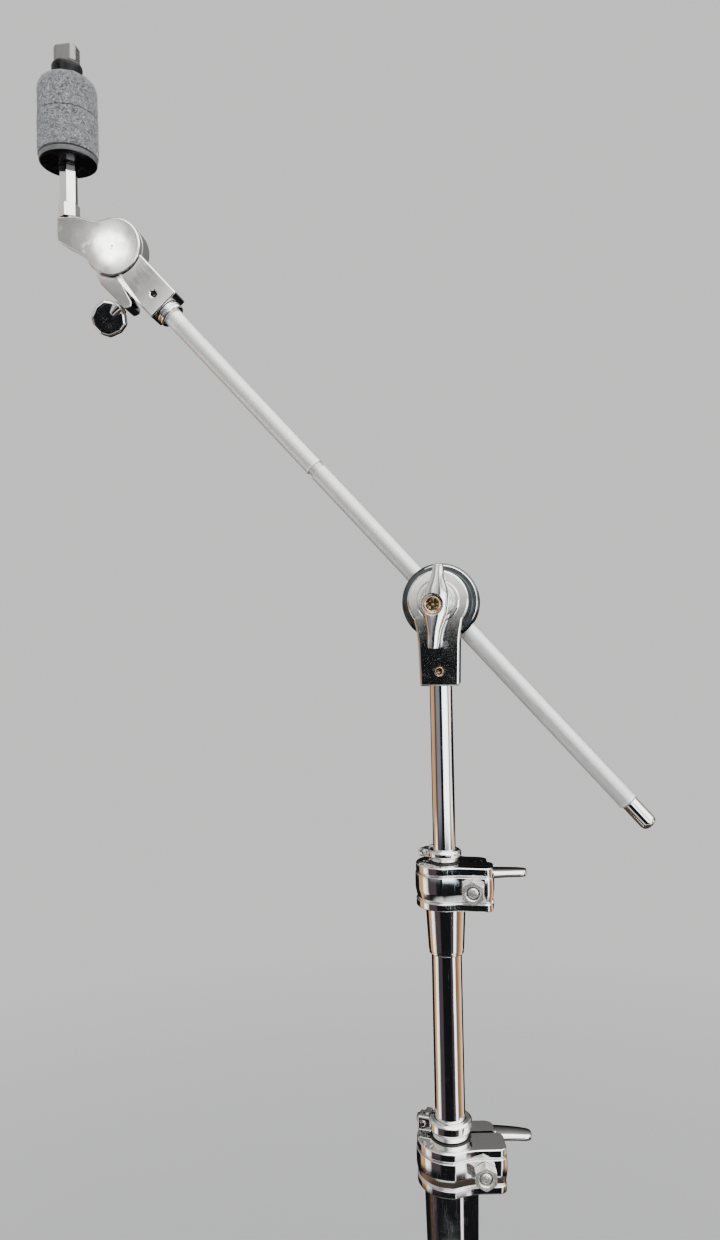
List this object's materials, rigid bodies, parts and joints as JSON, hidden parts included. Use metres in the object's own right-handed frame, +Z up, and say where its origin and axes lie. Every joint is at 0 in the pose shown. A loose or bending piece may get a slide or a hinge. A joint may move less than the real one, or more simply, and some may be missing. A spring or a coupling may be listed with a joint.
{
  "type": "boom cymbal stand",
  "caption": "Chrome boom cymbal stand with telescoping pole, tilting boom, toothless tilter, felt cymbal seat and folding double-braced tripod.",
  "frame": {"origin": "centre of the pole's end plug where it stands on the floor", "axes": "+Z up along the pole; the boom's plane is parallel to XZ, its cymbal end towards -X and its wing nut on the -Y side"},
  "size_m": [0.5887, 0.6782, 1.4053],
  "materials": {
    "chrome": "mirror chrome plate",
    "knurled_boom": "bright satin, fine knurl",
    "steel_hardware": "bright turned steel",
    "black_gloss": "gloss moulded plastic",
    "black_nylon": "moulded nylon",
    "nut_grey": "satin dark grey",
    "grey_felt": "pressed heather wool felt",
    "rubber": "moulded black rubber"
  },
  "bodies": {
    "root": {"base_tube": "chrome", "lower_clamp": "chrome", "lower_clamp_nut": "steel_hardware", "bottom_hub": "chrome", "end_plug": "rubber", "brace_1_pin": "steel_hardware", "brace_2_pin": "steel_hardware", "brace_3_pin": "steel_hardware"},
    "lower_wing": {"lower_wing_bolt": "chrome"},
    "lower_swivel": {"lower_bush": "black_nylon"},
    "middle": {"middle_tube": "chrome", "upper_clamp": "chrome", "upper_clamp_nut": "steel_hardware", "lower_stop_collar": "chrome", "lower_stop_screw": "steel_hardware"},
    "upper_wing": {"upper_wing_bolt": "chrome"},
    "upper_swivel": {"upper_bush": "black_nylon"},
    "upper": {"upper_tube": "chrome", "boom_bracket": "chrome", "bracket_set_screw": "steel_hardware", "upper_stop_collar": "chrome", "upper_stop_screw": "steel_hardware"},
    "drum": {"boom_drum": "chrome", "drum_eye_bolt": "steel_hardware", "wing_washer": "chrome"},
    "boom_wing": {"boom_wing_nut": "chrome", "wing_cap_screw": "steel_hardware"},
    "boom": {"boom_tube": "knurled_boom", "boom_end_rod": "chrome", "boom_socket_collar": "chrome", "tilter_body": "chrome", "tilter_roll_pin": "steel_hardware"},
    "tilter_wing": {"tilter_wing_bolt": "chrome"},
    "cymbal_arm": {"tilter_arm": "chrome", "tilter_pivot_bolt": "steel_hardware", "cymbal_rod": "chrome", "rod_lock_nut": "steel_hardware", "cup_washer": "black_gloss"},
    "felt_below": {"lower_felt": "grey_felt"},
    "felt_above": {"upper_felt": "grey_felt"},
    "top_nut": {"cymbal_nut": "black_gloss", "nut_release_sleeve": "nut_grey"},
    "tripod_collar": {"leg_collar": "chrome", "leg_1_pin": "steel_hardware", "leg_2_pin": "steel_hardware", "leg_3_pin": "steel_hardware"},
    "tripod_wing": {"leg_collar_wing_bolt": "chrome"},
    "tripod_leg_1": {"leg_1": "chrome", "foot_1": "rubber"},
    "tripod_leg_2": {"leg_2": "chrome", "foot_2": "rubber"},
    "tripod_leg_3": {"leg_3": "chrome", "foot_3": "rubber"},
    "tripod_brace_1": {"brace_1": "chrome"},
    "tripod_brace_2": {"brace_2": "chrome"},
    "tripod_brace_3": {"brace_3": "chrome"}
  },
  "joints": [
    {"name": "lower_wing_turn", "type": "hinge", "parent": "root", "child": "lower_wing", "pos_m": [0.01867, 0.00296, 0.6555], "axis": [-0.1564, 0.9877, 0], "range_deg": [-30, 330]},
    {"name": "lower_tube_swivel", "type": "hinge", "parent": "root", "child": "lower_swivel", "pos_m": [0, 0, 0.65], "axis": [0, 0, 1], "continuous": true},
    {"name": "middle_tube_slide", "type": "slide", "parent": "lower_swivel", "child": "middle", "axis": [0, 0, 1], "range_m": [0, 0.22]},
    {"name": "upper_wing_turn", "type": "hinge", "parent": "middle", "child": "upper_wing", "pos_m": [0.01899, -0.00066, 0.82775], "axis": [0.0349, 0.9994, 0], "range_deg": [-30, 330]},
    {"name": "upper_tube_swivel", "type": "hinge", "parent": "middle", "child": "upper_swivel", "pos_m": [0, 0, 0.83], "axis": [0, 0, 1], "continuous": true},
    {"name": "upper_tube_slide", "type": "slide", "parent": "upper_swivel", "child": "upper", "axis": [0, 0, 1], "range_m": [0, 0.16]},
    {"name": "boom_tilt", "type": "hinge", "parent": "upper", "child": "drum", "pos_m": [0, 0.023, 1.006], "axis": [0, 1, 0], "range_deg": [-60, 20]},
    {"name": "boom_wing_turn", "type": "hinge", "parent": "drum", "child": "boom_wing", "pos_m": [0, -0.0146, 1.006], "axis": [0, 1, 0], "range_deg": [-30, 330]},
    {"name": "boom_slide", "type": "slide", "parent": "drum", "child": "boom", "axis": [-0.6665, 0, 0.7455], "range_m": [-0.2, 0.12]},
    {"name": "tilter_wing_turn", "type": "hinge", "parent": "boom", "child": "tilter_wing", "pos_m": [-0.22058, 0.023, 1.2206], "axis": [-0.7455, 0, -0.6665], "range_deg": [-30, 330]},
    {"name": "cymbal_tilt", "type": "hinge", "parent": "boom", "child": "cymbal_arm", "pos_m": [-0.22213, 0.023, 1.25864], "axis": [0, 1, 0], "range_deg": [-32, 90]},
    {"name": "lower_felt_spin", "type": "hinge", "parent": "cymbal_arm", "child": "felt_below", "pos_m": [-0.25633, 0.018, 1.34], "axis": [0, 0, 1], "continuous": true},
    {"name": "upper_felt_spin", "type": "hinge", "parent": "cymbal_arm", "child": "felt_above", "pos_m": [-0.25633, 0.018, 1.367], "axis": [0, 0, 1], "continuous": true},
    {"name": "cymbal_nut_lift", "type": "slide", "parent": "cymbal_arm", "child": "top_nut", "axis": [0, 0, 1], "range_m": [0, 0.04]},
    {"name": "leg_collar_slide", "type": "slide", "parent": "root", "child": "tripod_collar", "axis": [0, 0, 1], "range_m": [0, 0.15996]},
    {"name": "collar_wing_turn", "type": "hinge", "parent": "tripod_collar", "child": "tripod_wing", "pos_m": [0.0243, 0, 0.24096], "axis": [1, 0, 0], "range_deg": [-30, 330]},
    {"name": "leg_1_fold", "type": "hinge", "parent": "tripod_collar", "child": "tripod_leg_1", "pos_m": [-0.026, 0, 0.24096], "axis": [0, -1, 0], "range_deg": [0, 49.5]},
    {"name": "leg_2_fold", "type": "hinge", "parent": "tripod_collar", "child": "tripod_leg_2", "pos_m": [0.013, 0.02252, 0.24096], "axis": [-0.866, 0.5, 0], "range_deg": [0, 49.5]},
    {"name": "leg_3_fold", "type": "hinge", "parent": "tripod_collar", "child": "tripod_leg_3", "pos_m": [0.013, -0.02252, 0.24096], "axis": [0.866, 0.5, 0], "range_deg": [0, 49.5]},
    {"name": "brace_1_fold", "type": "hinge", "parent": "root", "child": "tripod_brace_1", "pos_m": [-0.026, 0, 0.023], "axis": [0, 1, 0], "range_deg": [0, 49.5]},
    {"name": "brace_2_fold", "type": "hinge", "parent": "root", "child": "tripod_brace_2", "pos_m": [0.013, 0.02252, 0.023], "axis": [0.866, -0.5, 0], "range_deg": [0, 49.5]},
    {"name": "brace_3_fold", "type": "hinge", "parent": "root", "child": "tripod_brace_3", "pos_m": [0.013, -0.02252, 0.023], "axis": [-0.866, -0.5, 0], "range_deg": [0, 49.5]}
  ],
  "couplings": [
    {"joint": "leg_1_fold", "follows": "leg_collar_slide", "rad_per_m": 5.3464},
    {"joint": "leg_2_fold", "follows": "leg_collar_slide", "rad_per_m": 5.3464},
    {"joint": "leg_3_fold", "follows": "leg_collar_slide", "rad_per_m": 5.3464},
    {"joint": "brace_1_fold", "follows": "leg_collar_slide", "rad_per_m": 5.3464},
    {"joint": "brace_2_fold", "follows": "leg_collar_slide", "rad_per_m": 5.3464},
    {"joint": "brace_3_fold", "follows": "leg_collar_slide", "rad_per_m": 5.3464}
  ]
}
